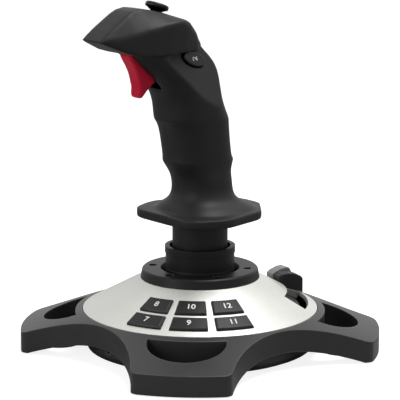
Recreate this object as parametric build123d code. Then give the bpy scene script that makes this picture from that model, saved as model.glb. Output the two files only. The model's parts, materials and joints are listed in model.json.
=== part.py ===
from build123d import *
from math import acos, asin, atan2, cos, degrees, radians, sin, sqrt, tan
import os

# Flight joystick. Millimetres, +Z up, +Y forward (away from the user), +X to the user's right.
# The origin is on the table, on the axis of the round base.

# ---------------------------------------------------------------- driving sizes
# Clearances
FACE_GAP = 0.3            # between faces that pass or nearly touch
RUN_GAP = 0.05            # radial clearance of a running fit
SLIP_GAP = 0.25           # sliding clearance round a button

# Base frame
FOOT_RADIUS = 109.3       # the feet end on this circle
FOOT_CORNER = 6.0
WAIST_RADIUS = 73.8       # nearest the outline comes to the axis, between two feet
WAIST_CURVE = 80.0
FRAME_DEPTH = 13.5        # height of the frame's side wall
FRAME_SLOPE = 0.3288      # fall of the legs' top per millimetre of radius
FRAME_SKIN = 2.4
FOOT_LIFT = 0.8           # the feet's rims stay this far off the table
HUB_BORE = 71.9           # round hole in the frame that the dome's edge fills
LEG_ANGLES = (45, 135, 225, 315)
LEG_NAMES = ("front_right", "front_left", "rear_left", "rear_right")
WINDOW_INNER = 76.0       # leg opening: inner arc, depth and half width
WINDOW_DEPTH = 21.5
WINDOW_HALF = 23.3
WINDOW_WALL = 1.8
CUP_PLACE = 87.0          # radius of the suction cups' circle
CUP_RADIUS = 13.0
BRIDGE_Z = 5.6            # underside of the bridge that holds a cup
BRIDGE_THICK = 2.2
BRIDGE_WIDTH = 15.0

# Dome
DOME_RADIUS = 71.4
DOME_EDGE_Z = 25.6
DOME_LIP = 1.8            # height of the dome's vertical edge
DOME_TOP_RADIUS = 36.4
DOME_TOP_Z = 44.4
DOME_SKIN = 2.2
DOME_BORE = 32.0

# Pan
PAN_RADIUS = 70.0
PAN_Z = 1.6
PAN_WALL = 2.2
PAN_CORNER = 4.0
LEDGE_THICK = 2.2         # ring of the frame between the dome's edge and the pan

# Collar and its six screws
COLLAR_RADIUS = 35.2
COLLAR_TOP_Z = 50.2
COLLAR_EDGE = 0.8
COLLAR_SPIGOT = 3.0
SCREW_CIRCLE = 29.0
SCREW_FIRST = 42
SCREW_COUNT = 6
SCREW_HEAD = 2.4
SCREW_SHANK = 1.3
SCREW_HEAD_DEPTH = 2.2
HOUSING_DEPTH = 5.0

# Gimbal
PIVOT_Z = 46.6
TILT = 15.0               # degrees each way
BALL_RADIUS = 21.3
BALL_WALL = 2.4
BALL_BOTTOM = 10.0        # the ball is cut flat this far under the pivot
SLEEVE_RADIUS = 20.9
SLEEVE_TOP_Z = 64.0
SLEEVE_WALL = 2.3
YOKE_THICK = 1.8
YOKE_HALF = 4.4
YOKE_EAR = 2.2
EAR_HALF = 3.0
DRIVE_PIN = 2.0           # radius of the stick's lower end
DRIVE_REACH = 27.6        # its length below the pivot
AXLE_PIN = 1.2            # radius of the yokes' pivot pins

# Stick and grip
SHAFT_RADIUS = 4.0
SHAFT_TOP_Z = 103.0
TUBE_RADIUS = 16.8
TUBE_BORE = 13.4
TUBE_BOTTOM_Z = 46.0
SKIRT_Z = 80.9
SKIRT_RIM = 5.6
GRIP_WALL = 2.6

# Keys on the dome
KEY_ANGLES = (111, 135, 159)
KEY_SPAN = 19.3           # degrees
KEY_INNER_ROW = (45.5, 55.4)
KEY_OUTER_ROW = (58.0, 67.1)
KEY_PROUD = 1.6
KEY_TRAVEL = 1.2
KEY_FLANGE = 1.0

# Throttle: an arc slider round the back of the dome
SLOT_FROM, SLOT_TO = 214.0, 326.0
SLOT_INNER, SLOT_OUTER = 53.0, 66.0
RUNNER_FROM, RUNNER_TO = 249.0, 271.0
KNOB_FROM, KNOB_TO = 250.0, 259.5
VANE_FROM, VANE_TO = 259.8, 267.0
KNOB_CROWN = ((67.4, 37.6), (66.3, 38.9), (62.0, 40.8), (57.5, 41.4), (54.0, 40.9), (51.4, 39.6))
VANE_CROWN = ((67.0, 36.1), (63.6, 42.0), (62.4, 42.6), (58.7, 42.3), (54.2, 41.0), (51.4, 39.4))
SILL_Z = (33.0, 29.4)     # top of the slider's plate under the knob, at the slot's inner and outer side
SILL_THICK = 2.0

# Trigger
TRIGGER_HALF = 5.0
TRIGGER_PIVOT = (49.0, 186.5)     # Y and Z of its pin
TRIGGER_PIN = 1.5

# Hat and buttons
HAT_PLACE = (33.6, 207.6)         # Y and Z where its axis meets the head
HAT_LEAN = 20.0
HAT_RADIUS = 6.9
BUTTON_TRAVEL = 1.0

os.makedirs("parts", exist_ok=True)


# ---------------------------------------------------------------- helpers
def disc(radius, z0, z1):
    """Upright cylinder between two heights."""
    return Pos(0, 0, z0) * Cylinder(radius, z1 - z0, align=(Align.CENTER, Align.CENTER, Align.MIN))


def ring(outer, inner, z0, z1):
    return disc(outer, z0, z1) - disc(inner, z0 - 1, z1 + 1)


def box(x0, x1, y0, y1, z0, z1):
    size = (x1 - x0, y1 - y0, z1 - z0)
    return Pos((x0 + x1) / 2, (y0 + y1) / 2, (z0 + z1) / 2) * Box(*size)


def turned(points, sweep=360):
    """Solid of revolution about Z from (radius, height) points."""
    face = Plane.XZ * make_face(Polyline(*points, close=True))
    return revolve(face, Axis.Z, sweep)


def slab(points, x0, x1):
    """Side view outline in (Y, Z), extruded from x0 to x1."""
    face = Plane.YZ.offset(x0) * make_face(Polyline(*points, close=True))
    return extrude(face, x1 - x0)


def rod(radius, start, end):
    """Cylinder between two points."""
    a, b = Vector(*start), Vector(*end)
    frame = Plane(origin=a, z_dir=b - a)
    return frame * Cylinder(radius, (b - a).length, align=(Align.CENTER, Align.CENTER, Align.MIN))


def save(name, *shapes):
    """Write one node; its shapes stay separate solids."""
    solids = [solid for shape in shapes for solid in shape.solids()]
    whole = solids[0] if len(solids) == 1 else Compound(children=solids)
    export_step(whole, f"parts/{name}.step")


# ---------------------------------------------------------------- base frame
def frame_top(radius):
    return DOME_EDGE_Z - (radius - DOME_RADIUS) * FRAME_SLOPE


def frame_outline(inset=0.0):
    """Plan of the frame: four feet on a circle, joined by four hollow curves."""
    plan = Circle(FOOT_RADIUS - inset)
    for turn in (0, 90, 180, 270):
        plan -= Rot(0, 0, turn) * Pos(WAIST_RADIUS + WAIST_CURVE, 0) * Circle(WAIST_CURVE + inset)
    corners = [v for v in plan.vertices() if (v.X**2 + v.Y**2) ** 0.5 > FOOT_RADIUS * 0.9]
    return fillet(corners, FOOT_CORNER - inset)


def frame_band(over, under):
    """Turned body between two lines parallel to the legs' top, cut level above the feet's rims."""
    inner, outer = HUB_BORE - 1, FOOT_RADIUS + 2
    low = FOOT_LIFT if under <= FRAME_DEPTH else -FOOT_LIFT
    points = [(inner, frame_top(inner) - over), (outer, frame_top(outer) - over),
              (outer, frame_top(outer) - under), (inner, frame_top(inner) - under)]
    return turned(points) & disc(outer + 1, low, DOME_EDGE_Z + 5)


def leg_window(grow=0.0):
    """Opening in a leg: a half ellipse outside, an arc round the dome inside. Drawn on the +X leg."""
    half, depth = WINDOW_HALF + grow, WINDOW_DEPTH + grow
    oval = Pos(WINDOW_INNER - 1, 0) * Ellipse(depth, half)
    keep = Circle(FOOT_RADIUS) - Circle(WINDOW_INNER - grow)
    return oval & keep & (Pos(FOOT_RADIUS, 0) * Rectangle(2 * FOOT_RADIUS - 2, 4 * half))


def base_frame():
    """Four legged shell with a hub wall, a ledge for the dome, window walls and cup bridges."""
    tall = DOME_EDGE_Z + 2
    shell = frame_band(0, FRAME_DEPTH) & extrude(frame_outline(), tall)
    hollow = frame_band(FRAME_SKIN, FRAME_DEPTH * 3) & extrude(frame_outline(FRAME_SKIN), tall)
    hollow -= disc(HUB_BORE + FRAME_SKIN, -1, tall)
    shell -= hollow
    low = BRIDGE_Z
    for angle in LEG_ANGLES:
        well = extrude(leg_window(WINDOW_WALL), tall) - disc(HUB_BORE + 1, -1, tall)
        well &= frame_band(FRAME_SKIN / 2, FRAME_DEPTH)
        well &= disc(FOOT_RADIUS, low, tall)
        well -= extrude(leg_window(), tall)
        bridge = box(HUB_BORE + 1, FOOT_RADIUS, -BRIDGE_WIDTH / 2, BRIDGE_WIDTH / 2,
                     low, low + BRIDGE_THICK)
        bridge &= extrude(leg_window(WINDOW_WALL / 2), tall)
        turn = Rot(0, 0, angle)
        shell = shell - turn * extrude(leg_window(), tall) + turn * well + turn * bridge
        shell -= turn * Pos(CUP_PLACE, 0, 0) * disc(cup_neck() + RUN_GAP, 0, tall)
    ledge_top = DOME_EDGE_Z - DOME_LIP
    shell += ring(HUB_BORE + 1, PAN_RADIUS - PAN_WALL - 2 * FACE_GAP, ledge_top - LEDGE_THICK, ledge_top)
    return shell - disc(HUB_BORE, ledge_top, tall) - disc(PAN_RADIUS + FACE_GAP, 0, ledge_top - LEDGE_THICK)


def cup_neck():
    return CUP_RADIUS * 0.3


def suction_cup(angle):
    """Rubber cup whose neck passes through the leg's bridge and buttons over it."""
    neck, lip = cup_neck(), CUP_RADIUS
    top = BRIDGE_Z + BRIDGE_THICK
    points = [(0, 2.4), (lip - 4, 1.2), (lip - 1.5, 0), (lip, 0), (lip, 0.9), (neck + 3, BRIDGE_Z - 0.6),
              (neck + 2, BRIDGE_Z - 0.1), (neck, BRIDGE_Z - 0.1), (neck, top + 0.1),
              (neck + 1.4, top + 0.1), (neck + 0.9, top + 2.2), (0, top + 2.8)]
    return Rot(0, 0, angle) * Pos(CUP_PLACE, 0, 0) * turned(points)


# ---------------------------------------------------------------- dome and pan
DOME_SLOPE = (DOME_TOP_Z - DOME_EDGE_Z) / (DOME_RADIUS - DOME_TOP_RADIUS)
DOME_LEAN = atan2(DOME_TOP_Z - DOME_EDGE_Z, DOME_RADIUS - DOME_TOP_RADIUS)
DOME_OUT = (sin(DOME_LEAN), cos(DOME_LEAN))       # outward normal in (radius, height)


def dome_point(radius, out=0.0):
    """Point at a radius on the dome's skin, moved out along its normal."""
    height = DOME_TOP_Z - (radius - DOME_TOP_RADIUS) * DOME_SLOPE
    return radius + out * DOME_OUT[0], height + out * DOME_OUT[1]


def dome_patch(inner, outer, low, high, start, stop):
    """Piece of the dome's skin between two radii, two levels and two angles."""
    points = [dome_point(inner, low), dome_point(outer, low), dome_point(outer, high), dome_point(inner, high)]
    return Rot(0, 0, start) * turned(points, stop - start)


def degrees_at(length, radius):
    return degrees(length / radius)


def key_opening(row, angle):
    inner, outer = row
    spread = KEY_SPAN / 2 + degrees_at(SLIP_GAP, inner)
    return dome_patch(inner - SLIP_GAP, outer + SLIP_GAP, -DOME_SKIN * 2, DOME_SKIN,
                      angle - spread, angle + spread)


def dome():
    edge = DOME_EDGE_Z - DOME_LIP
    inner_top = dome_point(DOME_TOP_RADIUS, -DOME_SKIN)
    inner_edge = dome_point(DOME_RADIUS - DOME_LIP, -DOME_SKIN)
    shell = turned([(DOME_RADIUS, edge), (DOME_RADIUS, DOME_EDGE_Z), (DOME_TOP_RADIUS, DOME_TOP_Z),
                    (DOME_BORE, DOME_TOP_Z), (DOME_BORE, DOME_TOP_Z - DOME_SKIN),
                    (inner_top[0] - 0.5, DOME_TOP_Z - DOME_SKIN), inner_top,
                    inner_edge, (inner_edge[0], edge)])
    for row in (KEY_INNER_ROW, KEY_OUTER_ROW):
        for angle in KEY_ANGLES:
            shell -= key_opening(row, angle)
    return shell - dome_patch(SLOT_INNER, SLOT_OUTER, -DOME_SKIN * 3, DOME_SKIN * 2, SLOT_FROM, SLOT_TO)


def bottom_pan():
    """Round tray under the dome, with the cable inlet at the front and four screw pillars."""
    top = DOME_EDGE_Z - DOME_LIP - LEDGE_THICK - 0.1
    r, c, w = PAN_RADIUS, PAN_CORNER, PAN_WALL
    tray = turned([(0, PAN_Z), (r - c, PAN_Z), (r - c * 0.3, PAN_Z + c * 0.3), (r, PAN_Z + c), (r, top),
                   (r - w, top), (r - w, PAN_Z + c), (r - c, PAN_Z + w), (0, PAN_Z + w)])
    for angle in LEG_ANGLES:
        x, y = PILLAR_CIRCLE * cos(radians(angle)), PILLAR_CIRCLE * sin(radians(angle))
        tray += Pos(x, y, 0) * disc(PILLAR_RADIUS, PAN_Z + w / 2, BOARD_Z)
    tray -= rod(INLET_RADIUS, (0, r - w * 3, INLET_Z), (0, r + 1, INLET_Z))
    return tray


PILLAR_CIRCLE = 34.0
PILLAR_RADIUS = 3.0
BOARD_Z = 11.0            # underside of the main board
BOARD_THICK = 1.6
INLET_Z = 9.4
INLET_RADIUS = 3.2


def cable_inlet():
    """Rubber bush in the pan's front wall. The cord itself isn't modelled."""
    bore, front = 1.5, PAN_RADIUS - 0.2
    sleeve = rod(INLET_RADIUS - RUN_GAP, (0, PAN_RADIUS - PAN_WALL - 1.6, INLET_Z), (0, front, INLET_Z))
    sleeve += rod(INLET_RADIUS + 1.0, (0, PAN_RADIUS - PAN_WALL - 2.6, INLET_Z),
                  (0, PAN_RADIUS - PAN_WALL - 0.8, INLET_Z))
    return sleeve - rod(bore, (0, PAN_RADIUS - 12, INLET_Z), (0, PAN_RADIUS + 1, INLET_Z))


def main_board():
    board = box(-38, 38, -34, 34, BOARD_Z, BOARD_Z + BOARD_THICK)
    board = fillet(board.edges().filter_by(Axis.Z), 4)
    for x, y, w, d, h in ((-22, 14, 10, 10, 1.6), (20, -14, 7, 12, 1.8), (0, 27, 12, 5, 4.5)):
        top = BOARD_Z + BOARD_THICK
        board += box(x - w / 2, x + w / 2, y - d / 2, y + d / 2, top - 0.2, top + h)
    return board


def ballast_plate():
    """Steel disc on the pan's floor that keeps the light base down."""
    floor = PAN_Z + PAN_WALL
    plate = ring(58, 20, floor, floor + 3)
    for angle in LEG_ANGLES:
        hole = disc(PILLAR_RADIUS + FACE_GAP, floor - 1, floor + 4)
        plate -= Rot(0, 0, angle) * Pos(PILLAR_CIRCLE, 0, 0) * hole
    return plate


def board_screws():
    top = BOARD_Z + BOARD_THICK
    screw = disc(2.4, top, top + 1.4)
    return [Rot(0, 0, a) * Pos(PILLAR_CIRCLE, 0, 0) * screw for a in LEG_ANGLES]


# ---------------------------------------------------------------- keys
def key(row, angle):
    """Curved key cap that slides square to the dome, held in by a flange under the skin."""
    inner, outer = row
    half = KEY_SPAN / 2
    cap = dome_patch(inner, outer, -DOME_SKIN - 0.6, KEY_PROUD, angle - half, angle + half)
    tops = [e for e in cap.edges() if all(out_of_dome(v) > KEY_PROUD - 0.1 for v in e.vertices())]
    cap = chamfer(tops, 0.7)
    grow = KEY_FLANGE
    spread = half + degrees_at(grow, inner)
    flange = dome_patch(inner - grow, outer + grow, -DOME_SKIN - 1.5, -DOME_SKIN - FACE_GAP / 2,
                        angle - spread, angle + spread)
    return cap + flange


def out_of_dome(vertex):
    radius = sqrt(vertex.X**2 + vertex.Y**2)
    skin = dome_point(radius)[1]
    return (vertex.Z - skin) * DOME_OUT[1]


def key_board():
    """Board under the keys, parallel to the skin, with a rubber dome below each key."""
    start, stop = KEY_ANGLES[0] - KEY_SPAN / 2, KEY_ANGLES[-1] + KEY_SPAN / 2
    under = DOME_SKIN + 1.5 + KEY_TRAVEL + 0.5
    board = dome_patch(KEY_INNER_ROW[0] - 3, KEY_OUTER_ROW[1] - 4, -under - 2.2, -under - 0.8, start, stop)
    for angle in KEY_ANGLES:
        for inner, outer in (KEY_INNER_ROW, (KEY_OUTER_ROW[0], KEY_OUTER_ROW[1] - 5)):
            board += dome_patch(inner + 2.5, outer - 2.5, -under - 1, -under, angle - 3, angle + 3)
    wall = dome_patch(KEY_INNER_ROW[0] - 3, KEY_INNER_ROW[0] - 1.4, -under - 1, -DOME_SKIN - 0.05, start, stop)
    return board + wall


# ---------------------------------------------------------------- throttle
def throttle_reach():
    """Radii of the slider's plate, clear of the slot's leaning walls."""
    return SLOT_INNER + 2 * SLIP_GAP, SLOT_OUTER - 5 * SLIP_GAP


def throttle_crown(crown, start, stop, drop):
    """Upright block that overhangs the slot's edges, with an arched top and a neck down to the plate."""
    inner, outer = throttle_reach()
    inner_foot, outer_foot = SILL_Z[0] - drop, SILL_Z[1] - drop
    far, near = crown[0][0], crown[-1][0]
    lift = KNOB_LIFT
    points = list(crown) + [dome_point(near, lift), dome_point(inner, lift), (inner, inner_foot),
                            (outer, outer_foot), dome_point(outer, lift), (far, dome_point(far, lift)[1])]
    return Rot(0, 0, start) * turned(points, stop - start)


KNOB_LIFT = 0.5           # gap between the overhangs and the dome's skin


def throttle_carrier():
    """Light slider in the dome's slot: runner under the skin, level sill, upright vane behind the knob."""
    under = -DOME_SKIN
    runner = dome_patch(SLOT_INNER - 2.5, SLOT_OUTER - 1, under - 2.4, under - 0.15, RUNNER_FROM, RUNNER_TO)
    inner, outer = throttle_reach()
    top_in, top_out = SILL_Z
    start, stop = KNOB_FROM - 1.0, VANE_TO
    below = turned([(inner, 0), (outer, 0), (outer, top_out), (inner, top_in)])
    post = dome_patch(inner + 1, outer - 3, under - 2.4, DOME_SKIN, start + 2, stop) & below
    plate = [(inner, top_in - SILL_THICK), (outer, top_out - SILL_THICK), (outer, top_out), (inner, top_in)]
    sill = Rot(0, 0, start) * turned(plate, stop - start)
    vane = throttle_crown(VANE_CROWN, VANE_FROM, VANE_TO, SILL_THICK)
    return runner + post + sill + vane


def throttle_knob():
    """Dark finger block that stands on the sill."""
    block = throttle_crown(KNOB_CROWN, KNOB_FROM, KNOB_TO, 0)
    rim = [e for e in block.edges() if e.center().Z > KNOB_CROWN[0][1] and e.length < 7]
    return chamfer(rim, 0.4)


def throttle_track():
    """Guide under the slot that carries the runner, fixed to the dome by two end blocks."""
    low = -DOME_SKIN - 2.4 - FACE_GAP / 2
    rail = dome_patch(SLOT_INNER - 2.5, SLOT_OUTER - 3, low - 2.0, low, SLOT_FROM - 4, SLOT_TO + 4)
    for start, stop in ((SLOT_FROM - 4, SLOT_FROM - 0.5), (SLOT_TO + 0.5, SLOT_TO + 4)):
        rail += dome_patch(SLOT_INNER - 2.5, SLOT_OUTER - 3, low - 2.0, -DOME_SKIN - 0.05, start, stop)
    return rail


# ---------------------------------------------------------------- collar and gimbal
def at_pivot(shape):
    return Pos(0, 0, PIVOT_Z) * shape


def screw_places():
    turns = [SCREW_FIRST + 360 / SCREW_COUNT * i for i in range(SCREW_COUNT)]
    return [Rot(0, 0, turn) * Pos(SCREW_CIRCLE, 0, 0) for turn in turns]


def yoke_reach(inner_one):
    """Inner and outer radius of a yoke's strap about the pivot."""
    inner = BALL_RADIUS + FACE_GAP + 0.05
    if not inner_one:
        inner = sqrt((inner + YOKE_THICK) ** 2 + YOKE_HALF**2) + FACE_GAP
    return inner, inner + YOKE_THICK


def sleeve_reach(lean, height):
    """Radius that clears the sleeve's side at a height over the pivot when the stick leans."""
    return SLEEVE_RADIUS / cos(radians(lean)) + height * tan(radians(lean)) + FACE_GAP + RUN_GAP


def collar():
    """Black ring that carries the yokes' pins and closes round the sleeve."""
    top, low = COLLAR_TOP_Z, DOME_TOP_Z
    body = turned([(0, low - COLLAR_SPIGOT), (DOME_BORE - 0.1, low - COLLAR_SPIGOT), (DOME_BORE - 0.1, low),
                   (DOME_TOP_RADIUS - 0.2, low), (COLLAR_RADIUS, top - COLLAR_EDGE),
                   (COLLAR_RADIUS - COLLAR_EDGE, top), (0, top)])
    corner_lean = degrees(acos(cos(radians(TILT)) ** 2))      # both axes at their ends
    throat, mouth = [sleeve_reach(corner_lean, z - PIVOT_Z) for z in (PIVOT_Z, top)]
    body -= turned([(0, PIVOT_Z), (throat, PIVOT_Z), (mouth, top), (mouth, top + 1), (0, top + 1)])
    body -= disc(throat, low - COLLAR_SPIGOT - 1, PIVOT_Z)
    ceiling = PIVOT_Z + YOKE_EAR + 0.4
    swing = EAR_HALF + (PIVOT_Z - low + COLLAR_SPIGOT) * tan(radians(TILT)) + 0.5
    for inner_one, turn in ((True, 90), (False, 0)):
        reach = yoke_reach(inner_one)[1] + SPRING_SEAT + 0.4
        pocket = box(-reach, reach, -swing, swing, low - COLLAR_SPIGOT - 1, ceiling)
        far = yoke_reach(inner_one)[1] + AXLE_SEAT + 0.2
        pins = rod(AXLE_PIN + RUN_GAP, (-far, 0, PIVOT_Z), (far, 0, PIVOT_Z))
        body -= Rot(0, 0, turn) * (pocket + pins)
    for place in screw_places():
        body -= place * disc(SCREW_SHANK + 0.1, low - COLLAR_SPIGOT - 1, top)
        body -= place * disc(SCREW_HEAD + 0.1, top - SCREW_HEAD_DEPTH, top + 1)
    return body


AXLE_SEAT = 4.6           # length of a yoke's pin beyond its strap
SPRING_SEAT = 1.6         # length of the return spring wound on that pin


def collar_screws():
    low = DOME_TOP_Z - COLLAR_SPIGOT - HOUSING_DEPTH + 0.6
    head_low = COLLAR_TOP_Z - SCREW_HEAD_DEPTH
    head = disc(SCREW_HEAD, head_low, head_low + 1.4)
    cross = box(-1.5, 1.5, -0.35, 0.35, head_low + 0.7, head_low + 2)
    head -= cross + Rot(0, 0, 90) * cross
    screw = disc(SCREW_SHANK, low, head_low) + head
    return [place * screw for place in screw_places()]


def gimbal_housing():
    """Ring that clamps the dome to the collar from below."""
    top = DOME_TOP_Z - COLLAR_SPIGOT
    inner = yoke_reach(False)[1] + 1.2
    body = ring(DOME_BORE + 2.4, inner, top - HOUSING_DEPTH, top - 0.05)
    body += ring(DOME_BORE + 2.4, DOME_BORE + 0.1, top - 1, DOME_TOP_Z - DOME_SKIN - 0.05)
    for place in screw_places():
        body -= place * disc(SCREW_SHANK + 0.02, top - HOUSING_DEPTH - 1, top + 1)
    return body


def yoke(inner_one):
    """Slotted half hoop under the ball, hung on two pins along X, with its slot along X."""
    inner, outer = yoke_reach(inner_one)
    strap = Rot(90, 0, 0) * (Cylinder(outer, 2 * YOKE_HALF) - Cylinder(inner, 3 * YOKE_HALF))
    strap &= box(-outer - 1, outer + 1, -YOKE_HALF, YOKE_HALF, -outer - 1, 0)
    waist = box(inner * 0.85, outer + 1, EAR_HALF, YOKE_HALF + 1, -outer * 0.7, 1)
    for side in (0, 180):
        strap -= Rot(0, 0, side) * (waist + mirror(waist, Plane.XZ))
    slack = RUN_GAP if not inner_one else FACE_GAP
    half = (outer + 1) * tan(radians(TILT)) + DRIVE_PIN + 1.2
    slot = box(-half, half, -DRIVE_PIN - slack, DRIVE_PIN + slack, -outer - 2, 0)
    strap -= slot
    for side in (-1, 1):
        strap += rod(YOKE_EAR, (side * inner, 0, 0), (side * outer, 0, 0))
        strap += rod(AXLE_PIN, (side * inner, 0, 0), (side * (outer + AXLE_SEAT), 0, 0))
    strap -= Rot(90, 0, 0) * Cylinder(inner, 3 * YOKE_HALF)
    if inner_one:
        low, high = -YOKE_EAR / 2, YOKE_EAR + 0.2
        strap -= turned([(0, low), (sleeve_reach(TILT, low), low), (sleeve_reach(TILT, high), high), (0, high)])
    return at_pivot(strap)


def yoke_springs(inner_one):
    """Return springs on the yoke's pins, drawn as plain sleeves against the collar's pocket walls."""
    outer = yoke_reach(inner_one)[1]
    start = outer + 0.3
    sleeve = rod(YOKE_EAR, (start, 0, 0), (start + SPRING_SEAT, 0, 0))
    sleeve -= rod(AXLE_PIN + RUN_GAP, (outer - 1, 0, 0), (outer + SPRING_SEAT + 2, 0, 0))
    return [at_pivot(Rot(0, 0, side) * sleeve) for side in (0, 180)]


LIP_DEPTH = 4.0           # bead round the sleeve's upper end


def neck_sleeve():
    """Tube round the stick that ends below in a hollow ball with a floor."""
    r, w, b = SLEEVE_RADIUS, SLEEVE_WALL, BALL_RADIUS
    join = sqrt(b * b - r * r)
    top = SLEEVE_TOP_Z - PIVOT_Z
    ball = Sphere(b) & disc(b + 1, -BALL_BOTTOM, join)
    tube = disc(r, join, top)
    lip = ring(r + 0.45, r - w, top - LIP_DEPTH, top)
    body = ball + tube + lip
    floor = -BALL_BOTTOM + 2.6
    body -= disc(r - w, join, top + 1)
    body -= Sphere(b - BALL_WALL) & disc(b, floor, join + 0.01)
    body += disc(SHAFT_RADIUS + 2.2, floor - 1, floor + 3)
    body -= disc(SHAFT_RADIUS, -BALL_BOTTOM - 1, floor + 4)
    return at_pivot(body)


def stick_shaft():
    """Steel shaft: axle of the twist above, drive pin of the yokes below."""
    foot = -BALL_BOTTOM
    body = disc(SHAFT_RADIUS, foot, SHAFT_TOP_Z - PIVOT_Z)
    body += disc(SHAFT_RADIUS + 1.6, foot - 1.6, foot)
    body += disc(DRIVE_PIN, -DRIVE_REACH, foot - 1)
    return at_pivot(body)


def sensor_magnet():
    """Magnet under the drive pin, read by the chip on the main board."""
    return at_pivot(disc(DRIVE_PIN, -DRIVE_REACH - 2.4, -DRIVE_REACH))


# ---------------------------------------------------------------- grip
# Sections of the grip: height, centre in Y, half depth and half width.
GRIP_SECTIONS = (
    (86.0, -4.6, 30.0, 31.0),
    (88.0, -4.0, 26.6, 27.4),
    (91.0, -2.6, 22.0, 22.8),
    (94.6, -1.8, 18.2, 18.8),
    (99.0, -1.6, 17.0, 17.3),
    (104.0, -1.2, 16.9, 17.0),
    (112.0, 0.6, 19.0, 16.6),
    (117.8, 2.1, 21.0, 16.9),
    (123.0, 2.8, 20.4, 17.4),
    (130.0, 3.8, 20.2, 18.0),
    (137.0, 4.9, 20.4, 18.6),
    (142.6, 6.7, 21.6, 19.3),
    (149.0, 8.6, 20.2, 19.6),
    (157.0, 10.8, 19.6, 19.8),
    (167.0, 14.8, 22.6, 19.6),
    (177.0, 21.8, 26.5, 19.0),
    (186.4, 30.4, 26.8, 17.8),
)
SQUARENESS = 2.6          # exponent of the grip's oval sections
SECTION_POINTS = 16

# Thumb facets on both sides of the grip under the head: a point and the outward normal (left one).
FACET_POINT = (-11.6, 14.4, 179.6)
FACET_NORMAL = (-0.907, -0.236, 0.346)

# Hand rest: corner points of its right half and their radii.
SKIRT_CORNERS = ((27.0, 30.5, 14.0), (37.5, 9.0, 22.0), (29.5, -24.0, 14.0), (9.0, -40.0, 10.0))

# Head: side outline in (Y, Z), plan in (X, Y), and the flanks (Y, top line Z, crease Z).
HEAD_SIDE = ((80.4, 194.2), (73.3, 199.9), (66.3, 204.6), (60.9, 208.1), (56.7, 210.3), (51.0, 211.4),
             (44.0, 210.4), (36.0, 208.6), (28.0, 206.0), (22.0, 203.8), (9.2, 189.6), (7.6, 185.8),
             (14.4, 185.6), (28.0, 185.2), (37.4, 184.5), (46.2, 184.0), (55.6, 184.6), (65.6, 187.4),
             (76.0, 192.0))
HEAD_PLAN = ((9.0, 80.4), (12.6, 71.0), (16.2, 60.0), (19.0, 48.0), (20.2, 36.0), (20.0, 26.0),
             (17.6, 16.0), (12.6, 9.4), (9.0, 7.6))
HEAD_FLANK = ((84.0, 190.5, 190.0), (70.0, 202.4, 186.0), (60.0, 208.4, 194.2), (50.0, 211.0, 200.2),
              (40.0, 209.4, 203.2), (28.0, 206.2, 204.6), (14.0, 201.8, 202.0), (0.0, 198.0, 200.6))
STRIP_HALF = 9.0          # half width of the flat strip along the head's top
HEAD_CAVITY = ((67.0, 193.0), (67.0, 198.5), (57.0, 204.6), (50.0, 206.2), (40.0, 204.8), (22.0, 200.5),
               (12.6, 190.1), (14.0, 176.0), (42.0, 176.0), (50.0, 183.0))
CAVITY_HALF = 10.0
HEAD_WALL = 2.1           # thickness of the rear face that carries the four buttons

# Trigger: side outline in (Y, Z) and the slot it swings in.
TRIGGER_SIDE = ((56.6, 184.0), (55.2, 181.4), (52.8, 177.6), (50.6, 173.2), (49.2, 168.4), (48.9, 164.5),
                (49.6, 160.6), (48.8, 158.4), (46.8, 157.9), (42.0, 163.0), (37.0, 166.8), (38.4, 172.0),
                (42.5, 179.0), (44.2, 187.0), (53.0, 188.5), (55.6, 186.4))
TRIGGER_SLOT = ((64.0, 155.0), (64.0, 183.0), (59.6, 186.6), (54.5, 191.0), (43.5, 191.0), (33.5, 178.0),
                (32.0, 164.0), (34.0, 155.0))
SIDE_GAP = 0.4            # between the trigger's cheeks and the slot

# Buttons
REAR_BUTTON = 2.9         # radius of the four head buttons
REAR_PITCH = (4.4, 4.1)   # half spacing across and along the rear face
THUMB_BUTTON = (9.9, 4.5)
THUMB_TURN = -16.5

# Screws of the grip along X: (Y, Z)
GRIP_SCREWS = ((1.0, 113.5), (8.0, 149.0), (24.5, 189.5), (62.0, 196.0))
BOSS_RADIUS = 3.2
HOLE_RADIUS = 1.2
TWIST_SENSOR_Z = 94.0


def oval(z, centre, depth, width):
    """Closed smooth oval, a little squarer than an ellipse."""
    points = []
    for i in range(SECTION_POINTS):
        a = radians(360 / SECTION_POINTS * i - 90)
        c, s = cos(a), sin(a)
        reach = (abs(c) ** SQUARENESS + abs(s) ** SQUARENESS) ** (-1 / SQUARENESS)
        points.append((width * reach * c, centre + depth * reach * s, z))
    return Wire([Edge.make_spline([Vector(*p) for p in points], periodic=True)])


def tower(sections, inset=0.0):
    wires = [oval(z, c, d - inset, w - inset) for z, c, d, w in sections]
    return Solid.make_loft(wires, ruled=False)


def facet_frame(side=-1):
    """Plane on a thumb facet: Z outward, X forward along the facet."""
    x, y, z = FACET_POINT
    nx, ny, nz = FACET_NORMAL
    return Plane(origin=(-side * x, y, z), x_dir=(-side * ny, -nx, 0), z_dir=(-side * nx, ny, nz))


def facets(depth=0.0):
    """The two blocks outside the thumb facets, moved inward by a depth."""
    block = Pos(0, 0, 50 - depth) * Box(400, 400, 100)
    return facet_frame(-1) * block + facet_frame(1) * block


def grip_core(inset=0.0):
    """Hand grip between its two finger ridges, with the thumb facets cut."""
    low = tower([s for s in GRIP_SECTIONS if s[0] <= 118], inset)
    mid = tower([s for s in GRIP_SECTIONS if 117 <= s[0] <= 143], inset)
    high = tower([s for s in GRIP_SECTIONS if s[0] >= 142], inset)
    body = low + mid + high
    return body - facets(inset)


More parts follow.
